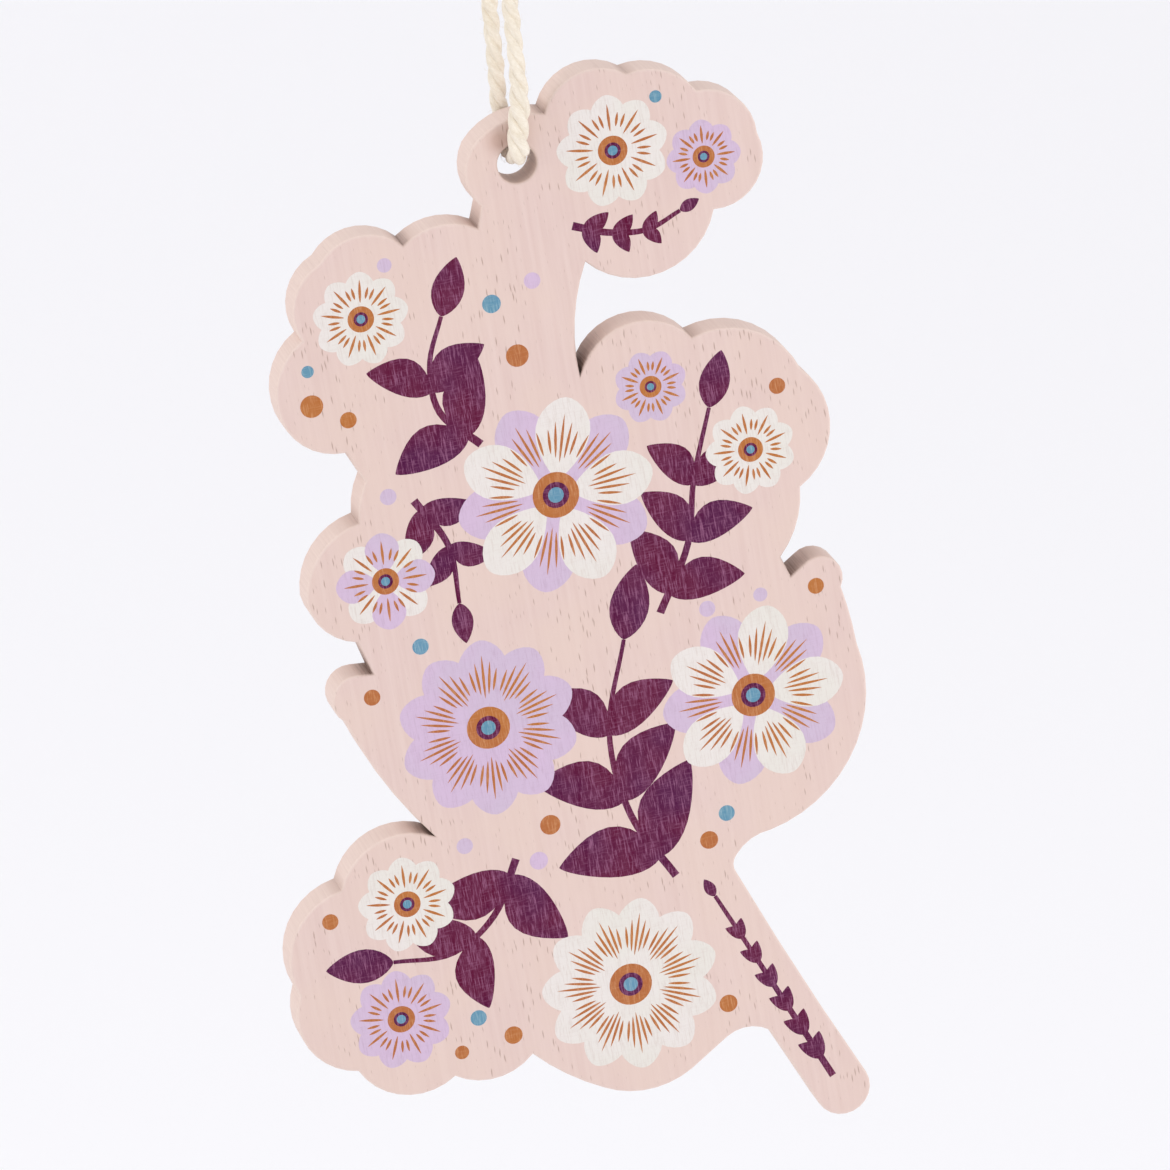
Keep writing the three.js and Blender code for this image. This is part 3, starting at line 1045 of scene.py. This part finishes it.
def matt_pink_paint():
    material, tree, shader, pores, streaks = coat("matt_pink_paint_on_birch", 0.65, 0.35)
    coordinates = add_node(tree, "ShaderNodeTexCoord").outputs
    place = coordinates["Object"]
    clouds = noise(tree, place, CLOUDS_PER_METRE, 2.0)
    paint = mixed(tree, streaks, linear("#d3bab3"), linear("#d9c2bb"))
    paint = mixed(tree, mapped(tree, clouds, 0.35, 0.65, 0, 0.6), paint, linear("#d9c2b7"))
    facing = add_node(tree, "ShaderNodeSeparateXYZ", {0: coordinates["Normal"]}).outputs["Y"]
    flat = mapped(tree, calc(tree, "ABSOLUTE", facing), 0.5, 0.9)
    pulses = noise(tree, vector_calc(tree, "MULTIPLY", place,
                                     (1 / PULSE_WIDTH, PULSE_STEPS_THROUGH, 1 / PULSE_WIDTH)),
                   1.0, 2.0)
    wall = mixed(tree, pulses, linear("#d9c1b7"), linear("#e9d4c9"))
    paint = mixed(tree, times(tree, times(tree, pores, 0.65), flat), paint, linear("#9a7e70"))
    paint = mixed(tree, flat, wall, paint)
    # A paler line along the arris, partly thin paint and partly a painted highlight.
    paint = mixed(tree, times(tree, attribute(tree, "wear_and_highlight"), 0.22), paint, linear("#f0e2d8"))
    # Painted shadow of the front strand: a soft brown spot darkens the paint just above and left of
    # the hole, where the strand meets the face.
    twine_shadow_place = (hole_centre[0] + TWINE_SHADOW_SHIFT[0], face_front, hole_centre[1] + TWINE_SHADOW_SHIFT[1])
    away = add_node(tree, "ShaderNodeVectorMath", {0: place, 1: twine_shadow_place},
                    operation="DISTANCE").outputs["Value"]
    twine_shadow = mapped(tree, away, TWINE_SHADOW_REACH, TWINE_SHADOW_CORE)
    paint = mixed(tree, times(tree, twine_shadow, twine_shadow), paint, linear("#eae0da"), "MULTIPLY")
    uneven = mapped(tree, pulses, 0.3, 0.7, 0.65, 1.25)
    amount = calc(tree, "MULTIPLY", attribute(tree, "scorch"), uneven, use_clamp=True)
    paint = mixed(tree, 1.0, paint, colour_ramp(tree, amount, BURN_STEPS), "MULTIPLY")
    tree.links.new(paint, shader.inputs["Base Color"])
    return material


# %% [markdown]
# The inks are thin and lie on the paint without filling the pores, so specks of the ground
# show through them along the grain, and fainter ones across it, where the print's passes meet.
# That is plain to see in the dark plum and hardly in the pale inks. Each ink drifts slowly
# between two hues, and is a shade smoother than the paint.

# %% Inks
SPECK_WIDTH = 0.11 * MM
SPECK_LENGTH = 1.1 * MM
HUE_DRIFT = 9 * MM
INK_COLOURS = {  # main colour, second hue, speck, share of specks
    "plum": ("#570a30", "#4a0f3c", "#a26b8c", 0.6),
    "lavender": ("#c7b5ca", "#cbb4cd", "#b49bb1", 0.45),
    "off_white": ("#dcd8d1", "#dfd9d5", "#c6b7af", 0.4),
    "ochre": ("#ae6b37", "#a8633a", "#cf9c72", 0.5),
    "blue": ("#57889f", "#5f8ba6", "#a3bcc3", 0.5),
}


def printed_ink(ink):
    main, second, speck, share = INK_COLOURS[ink]
    material, tree, shader, _, streaks = coat("screen_ink_" + ink, 0.5, 0.06)
    drift = grain_noise(tree, HUE_DRIFT, HUE_DRIFT, 2.0, 0.4, 0.6)
    specks = grain_noise(tree, SPECK_WIDTH, SPECK_LENGTH, 3.0, 0.5, 0.7)
    passes = grain_noise(tree, SPECK_LENGTH, SPECK_WIDTH, 2.0, 0.52, 0.72)
    colour = mixed(tree, drift, linear(main), linear(second))
    for marks, part in ((specks, share), (passes, 0.4 * share), (streaks, 0.2 * share)):
        colour = mixed(tree, times(tree, marks, part), colour, linear(speck))
    tree.links.new(colour, shader.inputs["Base Color"])
    return material


# %% Coats on the board
paint_material = matt_pink_paint()
for piece, node, slot in ((front_board, "front_veneer", "printed_face"),
                          (core_board, "core_veneer", "painted_wood"),
                          (back_board, "back_veneer", "painted_wood")):
    piece.data.materials.append(paint_material)
    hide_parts(node)
    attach(piece, "tag")
for ink in INKS:
    front_board.data.materials.append(printed_ink(ink))
print("coats on the front:", [material.name for material in front_board.data.materials])

# %% [markdown]
# The studio is plain: a pale sweep that is floor and wall in one, soft lights from the right
# and from high on the left, a faint one on the sweep alone, and an even white surround. The
# wall stands far enough back that the tag can be looked at from behind as well.

# %% Studio
FLOOR_DROP = 0.16
SWEEP_FRONT = 1.6
SWEEP_BACK = 1.9
SWEEP_RADIUS = 0.6
SWEEP_HEIGHT = 2.4
SWEEP_HALF_WIDTH = 2.2
SWEEP_STEPS = 16
TAG_MIDDLE = (0, 0, -0.11)
WALL_FOOT = (0, 0.95, cad_low.z - FLOOR_DROP)


def sweep():
    profile = [(-SWEEP_FRONT, 0.0)]
    for i in range(SWEEP_STEPS + 1):
        angle = 0.5 * math.pi * i / SWEEP_STEPS
        profile.append((SWEEP_BACK - SWEEP_RADIUS * (1 - math.sin(angle)),
                        SWEEP_RADIUS * (1 - math.cos(angle))))
    profile.append((SWEEP_BACK, SWEEP_HEIGHT))
    floor = cad_low.z - FLOOR_DROP
    verts = [(x, y, floor + z) for y, z in profile for x in (-SWEEP_HALF_WIDTH, SWEEP_HALF_WIDTH)]
    faces = [(2 * i, 2 * i + 1, 2 * i + 3, 2 * i + 2) for i in range(len(profile) - 1)]
    mesh = bpy.data.meshes.new("studio_sweep")
    mesh.from_pydata(verts, [], faces)
    mesh.shade_smooth()
    paper, _, _ = new_material("matt_white_paper", {"Base Color": linear("#fafafc"),
                                                    "Roughness": 1.0})
    mesh.materials.append(paper)
    return new_object("studio_sweep", mesh)


def soft_light(name, place, aim, size, watts):
    lamp = bpy.data.lights.new(name, "AREA")
    lamp.shape = "DISK"
    lamp.size = size
    lamp.energy = watts
    turn = (Vector(aim) - Vector(place)).to_track_quat("-Z", "Y").to_matrix().to_4x4()
    new_object(name, lamp).matrix_world = Matrix.Translation(place) @ turn
    print(name, watts, "W")


sweep()
soft_light("key_softbox", (0.62, -0.78, -0.06), TAG_MIDDLE, 0.4, 2.5)
soft_light("fill_softbox", (-0.85, -0.2, 0.45), TAG_MIDDLE, 0.8, 2.65)
soft_light("backdrop_softbox", (0, 1.5, 0.75), WALL_FOOT, 0.6, 0.8)
world = bpy.data.worlds.new("white_surround")
world.use_nodes = True
surround = world.node_tree.nodes["Background"].inputs
surround["Color"].default_value = linear("#fcfbfd")
surround["Strength"].default_value = 0.89
bpy.context.scene.world = world
bpy.context.scene.view_settings.view_transform = "Standard"
